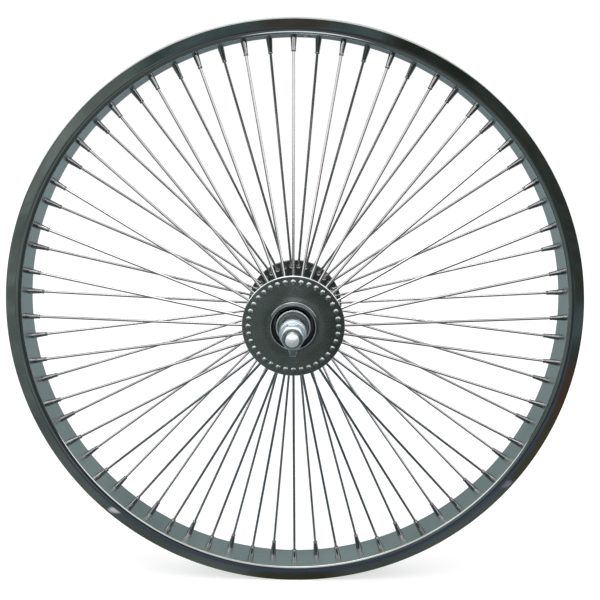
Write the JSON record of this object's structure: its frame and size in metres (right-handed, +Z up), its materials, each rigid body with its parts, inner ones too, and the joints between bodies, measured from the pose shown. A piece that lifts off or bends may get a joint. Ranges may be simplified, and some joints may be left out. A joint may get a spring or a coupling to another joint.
{
  "type": "bicycle wheel",
  "caption": "Bare chrome bicycle front wheel: steel rim without tyre, dense radial spokes, wide flanged hub and a nutted axle; the wheel turns on its axle.",
  "frame": {"origin": "the wheel's centre, on the axle's line midway between the flanges", "axes": "+Z up with the wheel standing as in use, Y along the axle with the pictured side at -Y"},
  "size_m": [0.4209, 0.146, 0.421],
  "materials": {
    "rim_chrome": "bright plated",
    "hub_chrome": "satin plated",
    "spoke_chrome": "bright plated",
    "nipple_chrome": "bright plated",
    "axle_steel": "machined",
    "zinc_plate": "zinc plated",
    "bearing_steel": "ground"
  },
  "bodies": {
    "axle": {"axle": "axle_steel", "axle_nuts": "zinc_plate", "tab_washers": "zinc_plate", "locknuts": "axle_steel", "near_cone": "axle_steel", "far_cone": "axle_steel", "near_dust_cap": "zinc_plate", "far_dust_cap": "zinc_plate"},
    "wheel": {"rim": "rim_chrome", "hub_barrel": "hub_chrome", "near_spokes": "spoke_chrome", "near_nipples": "nipple_chrome", "near_flange": "hub_chrome", "near_bearing_cup": "bearing_steel", "far_spokes": "spoke_chrome", "far_nipples": "nipple_chrome", "far_flange": "hub_chrome", "far_bearing_cup": "bearing_steel"},
    "balls": {"near_bearing_balls": "bearing_steel", "far_bearing_balls": "bearing_steel"}
  },
  "joints": [
    {"name": "wheel_spin", "type": "hinge", "parent": "axle", "child": "wheel", "pos_m": [0, 0, 0], "axis": [0, 1, 0], "continuous": true},
    {"name": "ball_orbit", "type": "hinge", "parent": "axle", "child": "balls", "pos_m": [0, 0, 0], "axis": [0, 1, 0], "continuous": true}
  ],
  "couplings": [
    {"joint": "ball_orbit", "follows": "wheel_spin", "ratio": 0.5841}
  ]
}
